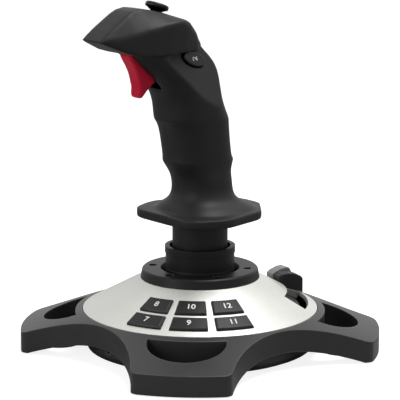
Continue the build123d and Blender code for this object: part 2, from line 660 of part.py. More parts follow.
def skirt_plan():
    right = [(x, y) for x, y, r in SKIRT_CORNERS]
    left = [(-x, y) for x, y in reversed(right)]
    plan = make_face(Polyline(*right, *left, close=True))
    for x, y, r in SKIRT_CORNERS:
        for side in (-1, 1):
            near = plan.vertices().sort_by_distance((side * x, y, 0))[0]
            plan = fillet([near], r)
    return plan


def hand_rest():
    """Flat rimmed plate under the grip's flare."""
    return extrude(Pos(0, 0, SKIRT_Z) * skirt_plan(), SKIRT_RIM, dir=(0, 0, 1))


def head():
    """Beaked head: side outline crossed with the plan, then the two upper flanks planed off."""
    plan = [(x, y) for x, y in HEAD_PLAN] + [(-x, y) for x, y in reversed(HEAD_PLAN)]
    column = Pos(0, 0, 180) * extrude(make_face(Polyline(*plan, close=True)), 40)
    body = slab(HEAD_SIDE, -25, 25) & column
    for side in (-1, 1):
        body -= flank(side)
    return body


def flank(side):
    """Wedge that takes the edge off the head between its top strip and its side."""
    profiles = []
    far, high = 30.0, 225
    for y, top, crease in HEAD_FLANK:
        low = top + (crease - top) / 9.5 * (far - STRIP_HALF)
        points = [(STRIP_HALF, top), (far, low), (far, high), (STRIP_HALF, high)]
        corners = [(side * x, z) for x, z in points]
        profiles.append(Plane.XZ.offset(-y) * make_face(Polyline(*corners, close=True)))
    return loft(profiles, ruled=True)


def hat_frame():
    """Plane on the head's top where the hat stands, Z along the hat's axis."""
    y, z = HAT_PLACE
    lean = radians(HAT_LEAN)
    return Plane(origin=(0, y, z), x_dir=(1, 0, 0), z_dir=(0, -sin(lean), cos(lean)))


def rear_frame():
    """Plane on the head's rear face, Z outward."""
    (y0, z0), (y1, z1) = HEAD_SIDE[9], HEAD_SIDE[10]
    length = sqrt((y1 - y0) ** 2 + (z1 - z0) ** 2)
    out = (0, (z1 - z0) / length, -(y1 - y0) / length)
    return Plane(origin=(0, (y0 + y1) / 2, (z0 + z1) / 2), x_dir=(1, 0, 0), z_dir=out)


def rear_places():
    """Buttons 3 to 6 on the rear face: upper pair first, left before right."""
    across, along = REAR_PITCH
    return [rear_frame() * Pos(x, y, 0) for y in (along, -along) for x in (-across, across)]


def thumb_oval(grow=0.0):
    a, b = THUMB_BUTTON
    return Rot(0, 0, THUMB_TURN) * Ellipse(a + grow, b + grow)


def grip_shell():
    """Outer skin, cavities and ribs of both grip halves, still in one piece."""
    body = grip_core() + hand_rest() + head()
    body += disc(TUBE_RADIUS, TUBE_BOTTOM_Z, SKIRT_Z + 1)
    hollow = tower([s for s in GRIP_SECTIONS if 104 <= s[0] <= 178], GRIP_WALL)
    hollow += slab(HEAD_CAVITY, -CAVITY_HALF, CAVITY_HALF)
    hollow -= facets(GRIP_WALL)
    y, z = TRIGGER_PIVOT
    cheek = box(-CAVITY_HALF - 1, CAVITY_HALF + 1, y - 5, y + 5.5, z - 9, z + 6)
    board = [box(-20, 20, 6, 9, low, low + 3) for low in (156.0, 170.0)]
    backing = box(-20, 20, 22.5, 26, 165, 176)
    shelf = facet_frame(-1) * box(-7, 7, THUMB_SHELF, THUMB_SHELF + 2, -12, -1)
    bosses = [rod(BOSS_RADIUS, (-20, sy, sz), (20, sy, sz)) for sy, sz in GRIP_SCREWS]
    for rib in [cheek, backing, shelf] + board + bosses:
        hollow -= rib
    body -= hollow
    body -= disc(TUBE_BORE, TUBE_BOTTOM_Z - 1, TWIST_SENSOR_Z + 5.1)
    body -= disc(SHAFT_RADIUS + 3, TWIST_SENSOR_Z, 106)
    body -= slab(TRIGGER_SLOT, -TRIGGER_HALF - SIDE_GAP, TRIGGER_HALF + SIDE_GAP)
    body -= rod(TRIGGER_PIN + 0.02, (-8, y, z), (8, y, z))
    body -= box(-0.85, 0.85, *GRIP_BOARD_Y, 155, 178)
    body -= hat_frame() * (disc(HAT_NECK_HOLE, -3, 3) + disc(HAT_CUP + 0.05, -HAT_CUP_DEEP - 3, -2.4))
    body -= hat_frame() * disc(HAT_CUP + 0.05, -HAT_CUP_DEEP - 6, -2.4)
    for place in rear_places():
        body -= place * disc(REAR_BUTTON + SLIP_GAP, -4, 3)
    body -= rear_frame() * box(-CAVITY_HALF, CAVITY_HALF, -9, 9, -7, -HEAD_WALL)
    body -= facet_frame(-1) * extrude(Pos(0, 0, -4) * thumb_oval(SLIP_GAP), 8)
    body -= facet_frame(-1) * extrude(Pos(0, 0, -GRIP_WALL - 2.6) * thumb_oval(1.3), 2.6)
    body -= facet_frame(-1) * box(-5.2, 5.2, -4.2, THUMB_SHELF, -9.6, -GRIP_WALL - 1)
    for sy, sz in GRIP_SCREWS:
        body -= rod(HOLE_RADIUS + 0.05, (-9, sy, sz), (25, sy, sz))
        body -= rod(2.5, (head_seat(sz), sy, sz), (30, sy, sz))
    return body


GRIP_BOARD_Y = (-1.0, 17.0)
THUMB_SHELF = 7.2         # top of the thumb switch's shelf, in the facet's own frame
HAT_NECK_HOLE = 5.5
HAT_CUP = 8.4
HAT_CUP_DEEP = 9.0
HAT_PIVOT = -5.0          # height of the hat's pivot on its axis


def head_seat(z):
    """How far to the right a grip screw's head sits, by the width of the grip there."""
    return 13.2 if z < 190 else 8.0


def half(body, side):
    """One grip half, with the seam on the middle plane."""
    gap = 0.02
    piece = body & box(gap, 60, -90, 120, 30, 230)
    if side < 0:
        piece = body & box(-60, -gap, -90, 120, 30, 230)
    return max(piece.solids(), key=lambda s: s.volume)


def grip_screws():
    screws = []
    for y, z in GRIP_SCREWS:
        seat = head_seat(z)
        screw = rod(HOLE_RADIUS, (-8.5, y, z), (seat, y, z)) + rod(2.3, (seat, y, z), (seat + 1.6, y, z))
        slot = box(seat + 0.9, seat + 2, y - 1.6, y + 1.6, z - 0.35, z + 0.35)
        screws.append(screw - slot)
    return screws


def twist_bushes():
    """Two plastic bushes fixed on the shaft; the grip turns on them."""
    return [ring(TUBE_BORE - RUN_GAP, SHAFT_RADIUS + 0.02, low, low + 9) for low in (55.0, 82.5)]


def twist_spring():
    return ring(SHAFT_RADIUS + 2.6, SHAFT_RADIUS + 0.6, 64.1, 82.4)


def twist_sensor():
    """Disc sensor fixed in the grip round the shaft; it also stops the grip sliding down."""
    return ring(TUBE_BORE - 0.02, SHAFT_RADIUS + RUN_GAP, TWIST_SENSOR_Z, TWIST_SENSOR_Z + 5)


def shaft_nut():
    low = TWIST_SENSOR_Z + 5 + FACE_GAP
    nut = Pos(0, 0, low) * extrude(RegularPolygon(6.4, 6), 2.6)
    return nut - disc(SHAFT_RADIUS + 0.02, low - 1, low + 4)


def trigger():
    y, z = TRIGGER_PIVOT
    body = slab(TRIGGER_SIDE, -TRIGGER_HALF, TRIGGER_HALF)
    front = [e for e in body.edges().filter_by(Axis.X) if 160 < e.center().Z < 178 and e.center().Y > 48]
    body = fillet(front, 1.0)
    return body - rod(TRIGGER_PIN + RUN_GAP, (-9, y, z), (9, y, z))


def trigger_pin():
    y, z = TRIGGER_PIVOT
    return rod(TRIGGER_PIN, (-7.9, y, z), (7.9, y, z))


def trigger_switch():
    return box(-4, 4, 26.0, 31.0, 167, 174)


def thumb_button():
    """Oval button on the left facet, kept in by a flange behind the skin."""
    cap = extrude(Pos(0, 0, -GRIP_WALL - 0.5) * thumb_oval(), GRIP_WALL + 0.5 + 1.3)
    top = [e for e in cap.edges() if e.center().Z > 1.0]
    cap = fillet(top, 0.7)
    flange = extrude(Pos(0, 0, -GRIP_WALL - 1.4) * thumb_oval(1.0), 1.4 - FACE_GAP / 2)
    return facet_frame(-1) * (cap + flange)


def thumb_switch():
    """Switch behind the thumb button, on its shelf."""
    top = -GRIP_WALL - 1.4 - BUTTON_TRAVEL - 0.4
    return facet_frame(-1) * box(-5, 5, -4, THUMB_SHELF, top - 4, top)


def head_button(place):
    cap = disc(REAR_BUTTON, -HEAD_WALL - 0.5, 1.1)
    cap = fillet([e for e in cap.edges() if e.center().Z > 1.0], 0.6)
    return place * (cap + disc(REAR_BUTTON + 0.8, -HEAD_WALL - 1.2, -HEAD_WALL - FACE_GAP / 2))


def button_board():
    """Board behind the four head buttons, between the side walls of the cavity."""
    top = -HEAD_WALL - 1.2 - BUTTON_TRAVEL - 0.3
    half_x = CAVITY_HALF - 0.1
    return rear_frame() * box(-half_x, half_x, -8, 8, top - 1.4, top)


def hat_cap():
    """Low thumb disc on a waisted stem, hinged in the rocker."""
    low = HAT_PIVOT
    points = [(0, low - 1.3), (2.4, low - 1.3), (2.4, -0.6), (3.2, 0.6), (HAT_RADIUS - 1.4, 2.0),
              (HAT_RADIUS, 2.6), (HAT_RADIUS, 3.4), (HAT_RADIUS - 0.8, 4.2), (2.8, 3.7), (0, 3.5)]
    pins = rod(0.8, (0, -4.9, low), (0, 4.9, low))
    return hat_frame() * (turned(points) + pins)


def hat_rocker():
    """Ring round the hat's stem: it tips about X in the housing, the hat tips about Y in it."""
    low = HAT_PIVOT
    body = ring(5.6, 3.6, low - 1.2, low + 1.2)
    body += rod(0.8, (5, 0, low), (7.3, 0, low)) + rod(0.8, (-5, 0, low), (-7.3, 0, low))
    body -= rod(0.8 + RUN_GAP, (0, -8, low), (0, 8, low))
    return hat_frame() * body


def hat_housing():
    body = ring(HAT_CUP, 6.5, -HAT_CUP_DEEP, -2.45) + disc(HAT_CUP, -HAT_CUP_DEEP, -HAT_CUP_DEEP + 1.2)
    body -= rod(0.8 + RUN_GAP, (-7.5, 0, HAT_PIVOT), (7.5, 0, HAT_PIVOT))
    return hat_frame() * body


def grip_board():
    return box(-0.8, 0.8, GRIP_BOARD_Y[0] + 0.1, GRIP_BOARD_Y[1] - 0.1, 155.1, 177.9)


# ---------------------------------------------------------------- write the nodes
save("base_frame", base_frame())
for angle, name in zip(LEG_ANGLES, LEG_NAMES):
    save(f"suction_cup_{name}", suction_cup(angle))
save("bottom_pan", bottom_pan())
save("cable_inlet", cable_inlet())
save("ballast_plate", ballast_plate())
save("main_board", main_board())
save("board_screws", *board_screws())
save("dome", dome())
save("key_board", key_board())
for i, angle in enumerate(KEY_ANGLES):
    save(f"key_{7 + 2 * i}", key(KEY_OUTER_ROW, angle))
    save(f"key_{8 + 2 * i}", key(KEY_INNER_ROW, angle))
save("throttle_carrier", throttle_carrier())
save("throttle_knob", throttle_knob())
save("throttle_track", throttle_track())
save("collar", collar())
save("collar_screws", *collar_screws())
save("gimbal_housing", gimbal_housing())
save("pitch_yoke", yoke(False))
save("pitch_springs", *yoke_springs(False))
save("roll_yoke", Rot(0, 0, 90) * yoke(True))
save("roll_springs", *[Rot(0, 0, 90) * s for s in yoke_springs(True)])
save("neck_sleeve", neck_sleeve())
save("stick_shaft", stick_shaft())
save("sensor_magnet", sensor_magnet())
save("twist_bushes", *twist_bushes())
save("twist_spring", twist_spring())
save("twist_sensor", twist_sensor())
save("shaft_nut", shaft_nut())
shell = grip_shell()
save("grip_left", half(shell, -1))
save("grip_right", half(shell, 1))
save("grip_screws", *grip_screws())
save("trigger", trigger())
save("trigger_pin", trigger_pin())
save("trigger_switch", trigger_switch())
save("thumb_button", thumb_button())
save("thumb_switch", thumb_switch())
for number, place in enumerate(rear_places(), 3):
    save(f"head_button_{number}", head_button(place))
save("button_board", button_board())
save("hat_cap", hat_cap())
save("hat_rocker", hat_rocker())
save("hat_housing", hat_housing())
save("grip_board", grip_board())
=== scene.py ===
# %% [markdown]
# # A flight joystick, dressed
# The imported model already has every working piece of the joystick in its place: the four-footed
# base, the silver dome, the gimbal, the two grip halves, the trigger and the buttons. This script
# gives them their finishes, puts softer forms in place of the grip, the trigger and the hat, adds
# the printed numbers, and sets a camera and soft light. Nothing of the frame is moved.

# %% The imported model
import json
import math

import bmesh
import bpy
from mathutils import Matrix, Vector
from mathutils.bvhtree import BVHTree


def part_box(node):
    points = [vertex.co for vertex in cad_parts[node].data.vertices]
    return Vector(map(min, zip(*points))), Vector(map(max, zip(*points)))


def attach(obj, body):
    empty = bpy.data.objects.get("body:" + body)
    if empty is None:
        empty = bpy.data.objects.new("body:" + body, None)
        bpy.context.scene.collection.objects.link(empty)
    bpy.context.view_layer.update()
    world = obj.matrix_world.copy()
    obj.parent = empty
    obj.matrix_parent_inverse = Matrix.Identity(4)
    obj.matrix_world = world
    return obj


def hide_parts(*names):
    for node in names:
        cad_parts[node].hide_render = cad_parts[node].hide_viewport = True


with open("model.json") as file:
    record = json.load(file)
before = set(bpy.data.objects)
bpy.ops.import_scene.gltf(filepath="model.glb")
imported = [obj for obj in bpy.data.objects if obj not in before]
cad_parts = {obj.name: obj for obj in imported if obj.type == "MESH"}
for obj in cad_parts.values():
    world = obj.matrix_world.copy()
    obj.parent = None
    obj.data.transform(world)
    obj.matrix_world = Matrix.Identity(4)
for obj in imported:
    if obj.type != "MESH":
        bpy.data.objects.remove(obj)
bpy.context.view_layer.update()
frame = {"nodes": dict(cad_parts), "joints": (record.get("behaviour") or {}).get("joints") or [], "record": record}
nodes = frame["nodes"]

# %% [markdown]
# ## Shader maths as plain maths
# A finish changes over its surface: grain, rubbed edges, slow changes of tone. Each of those is a
# sum of shader nodes. One class wraps an output socket and overloads the operators, so that a sum
# is written as a sum. A second class holds the material, and its methods add every other node.
# Lengths are in metres, so a millimetre has a name.

# %% The shader helpers
MM = 0.001
BEVEL_SAMPLES = 6


class Number:
    """An output of a shader node that can be used in sums."""

    def __init__(self, finish, socket):
        self.finish, self.socket = finish, socket

    def maths(self, operation, *values, **settings):
        inputs = dict(enumerate(values))
        return self.finish.node("ShaderNodeMath", {"operation": operation, **settings}, inputs)

    def __add__(self, other):
        return self.maths("ADD", self, other)

    def __sub__(self, other):
        return self.maths("SUBTRACT", self, other)

    def __rsub__(self, other):
        return self.maths("SUBTRACT", other, self)

    def __mul__(self, other):
        return self.maths("MULTIPLY", self, other)

    def clipped(self):
        """The same number, kept between 0 and 1."""
        return self.maths("ADD", self, 0.0, use_clamp=True)

    __radd__ = __add__
    __rmul__ = __mul__


class Finish:
    """A material being put together round its Principled shader."""

    def __init__(self, name, **sockets):
        self.material = bpy.data.materials.new(name)
        self.material.use_nodes = True
        self.tree = self.material.node_tree
        self.shader = self.tree.nodes["Principled BSDF"]
        self.set(sockets)

    def feed(self, socket, value):
        if isinstance(value, Number):
            self.tree.links.new(value.socket, socket)
        else:
            socket.default_value = value

    def set(self, sockets):
        for name, value in sockets.items():
            self.feed(self.shader.inputs[name], value)

    def node(self, kind, settings=None, inputs=None, output=0):
        made = self.tree.nodes.new(kind)
        for name, value in (settings or {}).items():
            setattr(made, name, value)
        for name, value in (inputs or {}).items():
            self.feed(made.inputs[name], value)
        return Number(self, made.outputs[output])

    def mixed(self, share, one, other):
        """A colour between two colours."""
        return self.node("ShaderNodeMix", {"data_type": "RGBA"}, {0: share, 6: one, 7: other}, 2)

    def noise(self, size, detail=2.0):
        """Noise whose blotches are about `size` metres across."""
        place = self.node("ShaderNodeTexCoord", output="Object")
        inputs = {"Vector": place, "Scale": 1 / size, "Detail": detail}
        return self.node("ShaderNodeTexNoise", {}, inputs)

    def rounded(self, radius):
        """The normal of the surface as it would be with its edges rounded."""
        return self.node("ShaderNodeBevel", {"samples": BEVEL_SAMPLES}, {"Radius": radius})

    def bump(self, height, strength, depth, **normal):
        """A normal tilted by a height that runs over the surface."""
        inputs = {"Strength": strength, "Distance": depth, "Height": height, **normal}
        return self.node("ShaderNodeBump", {}, inputs)


def srgb(red, green, blue):
    """The linear colour that a shader takes, for one given as a screen shows it, from 0 to 255."""
    linear = []
    for level in (red / 255, green / 255, blue / 255):
        linear.append(level / 12.92 if level <= 0.04045 else ((level + 0.055) / 1.055) ** 2.4)
    return (*linear, 1.0)


def dimmed(colour, factor):
    """A colour made darker, or lighter where the factor is over 1."""
    return [part * factor for part in colour[:3]] + [1]


print("a middle grey of 128 is", round(srgb(128, 128, 128)[0], 3), "in linear light")

# %% [markdown]
# ## Moulded plastic
# Most of the joystick is injection-moulded plastic. Its tool is spark-eroded, which leaves a fine
# grain, its edges are never quite sharp, and hands leave them polished. The Bevel node rounds the
# edges' shading, and where its normal leaves the face's own normal there is an edge, so the same
# node also gives a mask for the edges. There the colour is lighter: partly the polishing of hands,
# partly a painted highlight where the edges catch the light.

# %% The plastic finishes
TONE_SIZE = 22 * MM         # blotches of the slow change of tone
EDGE_CONTRAST = 3.0         # how quickly a rounded edge gets the lighter edge colour
SLOW_ROUGHNESS = 0.10       # how far the slow change moves the roughness
RUBBED_ROUGHNESS = 0.10     # what rubbing takes off it
GRAIN_ROUGHNESS = 0.08      # how far the grain moves it
GRAIN_STRENGTH = 0.6


def moulded(name, colour, worn_and_lit, roughness, grain, depth, edge, tone=0.10, polish_and_highlight=0.55, gloss=0.5):
    """Grained plastic with rounded, slightly polished edges and a slow change of tone. The edges
    are lighter, partly from the polishing and partly as a painted highlight.

    `grain` and `depth` are the grain's size and height, and `edge` is the edges' radius. The colour
    goes to `worn_and_lit` on the edges, by the share `polish_and_highlight`. `gloss` is the shader's specular
    level.
    """
    finish = Finish(name, **{"Specular IOR Level": gloss})
    rounded = finish.rounded(edge)
    flat = finish.node("ShaderNodeNewGeometry", output="Normal")
    facing = finish.node("ShaderNodeVectorMath", {"operation": "DOT_PRODUCT"},
                         {0: rounded, 1: flat}, "Value")
    rubbed_and_lit = ((1 - facing) * EDGE_CONTRAST).clipped()
    slow = finish.noise(TONE_SIZE)
    fine = finish.noise(grain, 3.0)
    plain = finish.mixed((slow * 2 - 0.5).clipped(),
                         dimmed(colour, 1 - tone), dimmed(colour, 1 + tone))
    drift = (slow - 0.5) * SLOW_ROUGHNESS - rubbed_and_lit * RUBBED_ROUGHNESS
    # The edges' lighter colour is partly polishing and partly a painted highlight where they catch the light.
    finish.set({"Base Color": finish.mixed(rubbed_and_lit * polish_and_highlight, plain, worn_and_lit),
                "Roughness": roughness + drift + (fine - 0.5) * GRAIN_ROUGHNESS,
                "Normal": finish.bump(fine, GRAIN_STRENGTH, depth, Normal=rounded)})
    return finish.material


# Each lighter edge colour below is partly wear and partly a painted highlight.
grip_black = moulded("soft_touch_black", srgb(25, 25, 26), worn_and_lit=srgb(56, 56, 57), roughness=0.50,
                     grain=0.45 * MM, depth=0.03 * MM, edge=0.7 * MM, gloss=0.22)
frame_grey = moulded("frame_grey", srgb(42, 42, 43), worn_and_lit=srgb(122, 122, 123), roughness=0.42,
                     grain=0.6 * MM, depth=0.02 * MM, edge=0.9 * MM, polish_and_highlight=1.0, gloss=0.35)
collar_black = moulded("collar_black", srgb(13, 13, 14), worn_and_lit=srgb(78, 78, 79), roughness=0.42,
                       grain=0.6 * MM, depth=0.012 * MM, edge=0.6 * MM, polish_and_highlight=0.9, gloss=0.22)
key_black = moulded("key_black", srgb(16, 16, 17), worn_and_lit=srgb(86, 86, 87), roughness=0.36,
                    grain=0.7 * MM, depth=0.01 * MM, edge=0.45 * MM, polish_and_highlight=0.9, gloss=0.3)
knob_grey = moulded("knob_grey", srgb(24, 24, 24), worn_and_lit=srgb(50, 50, 50), roughness=0.48,
                    grain=0.6 * MM, depth=0.02 * MM, edge=0.6 * MM, gloss=0.25)
vane_grey = moulded("vane_grey", srgb(126, 126, 124), worn_and_lit=srgb(168, 168, 166), roughness=0.42,
                    grain=0.7 * MM, depth=0.015 * MM, edge=0.4 * MM)
pan_black = moulded("pan_black", srgb(16, 16, 17), worn_and_lit=srgb(30, 30, 31), roughness=0.55,
                    grain=0.8 * MM, depth=0.04 * MM, edge=0.8 * MM)
inner_plastic = moulded("inner_plastic", srgb(34, 34, 35), worn_and_lit=srgb(52, 52, 54), roughness=0.55,
                        grain=0.8 * MM, depth=0.03 * MM, edge=0.4 * MM)
trigger_red = moulded("trigger_red", srgb(206, 20, 56), worn_and_lit=srgb(224, 60, 92), roughness=0.40,
                      grain=0.8 * MM, depth=0.008 * MM, edge=0.5 * MM, tone=0.05, gloss=0.16)
thumb_black = moulded("thumb_black", srgb(8, 8, 9), worn_and_lit=srgb(66, 66, 67), roughness=0.30,
                      grain=0.7 * MM, depth=0.006 * MM, edge=0.5 * MM, polish_and_highlight=1.0, gloss=0.22)
ink_white = moulded("printed_white", srgb(226, 226, 224), worn_and_lit=srgb(226, 226, 224), roughness=0.5,
                    grain=0.3 * MM, depth=0.004 * MM, edge=0.05 * MM, tone=0.03)
print("shader nodes in a moulded plastic:", len(grip_black.node_tree.nodes))

# %% [markdown]
# ## Silver paint
# The dome is plastic painted silver: a metallic paint, whose flakes lie at slightly different
# angles and break the reflection into a soft sparkle. A Voronoi pattern of very small cells tilts
# them and varies their roughness, and it lightens some of them towards white as a painted glint.
# Faces that stand upright get a dark grey as painted shade.

# %% The silver finish
FLAKE_SIZE = 0.35 * MM
FLAKE_GLINT_SHARE = 0.35          # how far a flake's colour goes to a painted glint
UPRIGHT_SHADE_SHARE = 0.85           # how far upright faces go to the dark grey of painted shade


def silver_paint():
    """Metallic paint, with a painted glint on its flakes and painted shade on its upright faces."""
    finish = Finish("silver_paint", Metallic=0.55)
    place = finish.node("ShaderNodeTexCoord", output="Object")
    flakes = finish.node("ShaderNodeTexVoronoi", {},
                         {"Vector": place, "Scale": 1 / FLAKE_SIZE}, "Color")
    glint = finish.node("ShaderNodeSeparateColor", {}, {"Color": flakes})
    rounded = finish.rounded(0.6 * MM)
    slow = finish.noise(30 * MM)
    base = finish.mixed((slow * 1.6 - 0.3).clipped(), srgb(202, 202, 197), srgb(214, 214, 209))
    upward = finish.node("ShaderNodeSeparateXYZ", {}, {"Vector": rounded}, "Z")
    upright_shade = (1 - upward * 1.6).clipped()
    # The flakes' lighter colour is a painted glint.
    silver = finish.mixed(glint * FLAKE_GLINT_SHARE, base, srgb(240, 240, 235))
    # Upright faces go to a dark grey: painted shade.
    finish.set({"Base Color": finish.mixed(upright_shade * UPRIGHT_SHADE_SHARE, silver, srgb(92, 92, 89)),
                "Roughness": 0.34 + glint * 0.10 + (slow - 0.5) * 0.06,
                "Normal": finish.bump(glint, 0.25, 0.008 * MM, Normal=rounded)})
    return finish.material


dome_silver = silver_paint()
print("shader nodes in the silver paint:", len(dome_silver.node_tree.nodes))

# %% [markdown]
# ## Rubber, steel and the boards
# The suction cups and the cable bush are rubber: dull, with dust in the grain. The shaft and the
# screws are steel, with fine turning marks round their axes, which a Wave texture in rings draws.
# The circuit boards are lacquer over copper tracks, and bands cut out of a noise draw the tracks.

# %% The other finishes
def rubber(name, colour):
    """Dull rubber with patches of dust."""
    finish = Finish(name, **{"Specular IOR Level": 0.25})
    dust, fine = finish.noise(6 * MM, 4.0), finish.noise(0.4 * MM)
    patches = (dust * 3 - 1.6).clipped()
    finish.set({"Base Color": finish.mixed(patches * 0.5, colour, srgb(60, 59, 58)),
                "Roughness": 0.74 + (fine - 0.5) * 0.1,
                "Normal": finish.bump(fine, 0.5, 0.03 * MM)})
    return finish.material


def turned_metal(name, colour, ring, roughness):
    """Metal with turning marks `ring` metres apart, and a faint stain."""
    finish = Finish(name, Metallic=1.0)
    place = finish.node("ShaderNodeTexCoord", output="Object")
    marks = finish.node("ShaderNodeTexWave", {"wave_type": "RINGS", "rings_direction": "Z"},
                        {"Vector": place, "Scale": 0.5 / ring, "Distortion": 2.0, "Detail": 2.0})
    stain = finish.noise(4 * MM)
    finish.set({"Base Color": finish.mixed((stain - 0.2).clipped(), colour, dimmed(colour, 0.7)),
                "Roughness": roughness + (marks - 0.5) * 0.12 + (stain - 0.5) * 0.1,
                "Normal": finish.bump(marks, 0.2, 0.01 * MM)})
    return finish.material


def laminate(name, colour, track):
    """Circuit board: lacquer over copper tracks, drawn by bands of noise."""
    finish = Finish(name, Roughness=0.35)
    bands = finish.noise(5 * MM, 0.0) * 14.0
    tracks = (bands.maths("PINGPONG", bands, 0.5) * 8 - 2.6).clipped()
    finish.set({"Base Color": finish.mixed(tracks, colour, track),
                "Normal": finish.bump(tracks, 0.3, 0.03 * MM)})
    return finish.material


black_rubber = rubber("black_rubber", srgb(72, 72, 73))
steel = turned_metal("turned_steel", srgb(190, 190, 192), ring=0.3 * MM, roughness=0.30)
dark_screw = turned_metal("blackened_screw", srgb(60, 60, 62), ring=0.2 * MM, roughness=0.42)
spring_steel = turned_metal("spring_steel", srgb(150, 150, 150), ring=0.5 * MM, roughness=0.30)
board_green = laminate("board_green", srgb(28, 74, 48), track=srgb(60, 110, 74))
others = (black_rubber, steel, dark_screw, spring_steel, board_green)
print("also made:", [material.name for material in others])

# %% [markdown]
# ## Which node wears what
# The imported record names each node's material slot. One table turns slots into finishes, and the
# slots' own names say what each is. The thumb button alone leaves its slot's finish: it is
# smoother and blacker than the grip.

# %% Finishes go on
by_slot = {"frame_grey": frame_grey, "dome_silver": dome_silver, "black": collar_black,
           "grip_black": grip_black, "key_black": key_black, "trigger_red": trigger_red,
           "vane_grey": vane_grey, "knob_grey": knob_grey, "inner_plastic": inner_plastic,
           "steel": steel, "screw": dark_screw, "spring": spring_steel, "rubber": black_rubber,
           "board": board_green, "pan_black": pan_black}
slot_of = {part["node"]: part["material_slot"] for part in frame["record"]["subparts"]}


def wear(piece, material):
    piece.data.materials.clear()
    piece.data.materials.append(material)


for name, node in nodes.items():
    wear(node, by_slot[slot_of[name]])
wear(nodes["thumb_button"], thumb_black)
print("finishes:", sorted(set(slot_of.values())))

# %% [markdown]
# ## The soft forms of the grip
# The grip is two moulded shells that meet on a seam. Its head has facets that run into each other
# over rounded edges, and the CAD solids leave those edges sharp. One way to soften them is a
# subdivision cage, but the shells have a trigger slot, button openings and an inside, and a cage
# for all of that is a model of its own. So a copy of both shells is joined, rebuilt in small even
# faces by a voxel remesh, relaxed where the real head is soft, and cut in two again on the seam.
# Both halves are relaxed together, so they still meet exactly.

# %% Even faces
def placed(mesh, name):
    """An object made of a bmesh. It sits at the origin, and its place is in its mesh."""
    data = bpy.data.meshes.new(name)
    mesh.to_mesh(data)
    mesh.free()
    piece = bpy.data.objects.new(name, data)
    bpy.context.scene.collection.objects.link(piece)
    return piece


def merged(*names):
    """Copies of some nodes in one mesh, with their loose triangles joined."""
    mesh = bmesh.new()
    for name in names:
        mesh.from_mesh(nodes[name].data)
    bmesh.ops.remove_doubles(mesh, verts=mesh.verts, dist=0.002 * MM)
    return mesh


def evenly_faced(mesh, size):
    """The same form in faces of one size, from a voxel remesh."""
    holder = placed(mesh, "rough")
    remesh = holder.modifiers.new("even", "REMESH")
    remesh.mode, remesh.voxel_size = "VOXEL", size
    rebuilt = holder.evaluated_get(bpy.context.evaluated_depsgraph_get())
    even = bmesh.new()
    even.from_mesh(rebuilt.to_mesh())
    rebuilt.to_mesh_clear()
    bpy.data.objects.remove(holder)
    return even


grip = evenly_faced(merged("grip_left", "grip_right"), 0.8 * MM)
print("grip points:", len(grip.verts))

# %% [markdown]
# ## How soft, and where
# Relaxing a mesh moves each point towards the middle of its neighbours. Repeated, it rounds every
# edge, so the number of rounds is a measure of softness. The head takes many rounds. The rest of
# the grip takes a few, and the rims of the openings for the hat, the thumb button and the trigger
# take next to none, so they stay crisp.

# %% Relax the grip
ROUNDS_EVERYWHERE, ROUNDS_ON_HEAD = 4, 40
# The head, down from the grip's top.
HEAD_START, HEAD_FULL = 24 * MM, 19 * MM
# The front of the head, forward of the origin, and the share of the rounding that it loses.
FRONT_START, FRONT_FULL, FRONT_LOSS = 22 * MM, 34 * MM, 0.85
# The beak, back from its tip, and the hat's rim, out from the hat's middle.
BEAK_START, BEAK_FULL = 11 * MM, 4 * MM
HAT_START, HAT_FULL = 7 * MM, 11 * MM
# The face of the head buttons: forward of the origin, and half its width.
REAR_START, REAR_FULL, REAR_HALF = 18 * MM, 24 * MM, 9 * MM
# The trigger's slot: half its width, and its top down from the grip's top.
SLOT_HALF, SLOT_TOP = 6.4 * MM, 19 * MM
# The rims of the two openings: the thumb button's from its middle, and the trigger's as a block.
THUMB_REACH = 12.5 * MM
TRIGGER_HALF, TRIGGER_BACK, TRIGGER_TOP = 6.6 * MM, 30 * MM, 20 * MM

hat_low, hat_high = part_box("hat_cap")
hat_middle = (hat_low + hat_high) / 2
thumb_low, thumb_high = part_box("thumb_button")
thumb_middle = (thumb_low + thumb_high) / 2
grip_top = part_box("grip_left")[1].z
beak_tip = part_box("grip_left")[1].y


def ramp(value, start, stop):
    """0 before start, 1 after stop, straight between."""
    return min(max((value - start) / (stop - start), 0.0), 1.0)


def softness(point):
    """How much of the head's rounding a point takes, from 0 to 1: little in front, all behind."""
    head = ramp(point.z, grip_top - HEAD_START, grip_top - HEAD_FULL)
    head *= 1 - FRONT_LOSS * ramp(point.y, FRONT_START, FRONT_FULL)
    beak = 1 - ramp(point.y, beak_tip - BEAK_START, beak_tip - BEAK_FULL)
    hat = ramp((point.xy - hat_middle.xy).length, HAT_START, HAT_FULL)
    rear = ramp(point.y, REAR_START, REAR_FULL) if abs(point.x) < REAR_HALF else 1.0
    slot = 0.0 if abs(point.x) < SLOT_HALF and point.z < grip_top - SLOT_TOP else 1.0
    return head * beak * hat * rear * slot


def opening(point):
    """Whether a point is on the rim of the thumb button's or the trigger's opening."""
    thumb = (point - thumb_middle).length < THUMB_REACH and point.x < 0
    below = point.z < grip_top - TRIGGER_TOP
    trigger = abs(point.x) < TRIGGER_HALF and point.y > TRIGGER_BACK and below
    return thumb or trigger


def relax(mesh, points):
    """One round: each point goes halfway to the middle of its neighbours."""
    bmesh.ops.smooth_vert(mesh, verts=points, factor=0.5,
                          use_axis_x=True, use_axis_y=True, use_axis_z=True)


shares = {point: softness(point.co) for point in grip.verts}
everywhere = [point for point in grip.verts if not opening(point.co)]
for turn in range(ROUNDS_EVERYWHERE):
    relax(grip, everywhere)
for turn in range(ROUNDS_ON_HEAD):
    relax(grip, [point for point, share in shares.items() if share * ROUNDS_ON_HEAD > turn])
print("points softened:", len([1 for share in shares.values() if share > 0.5]))

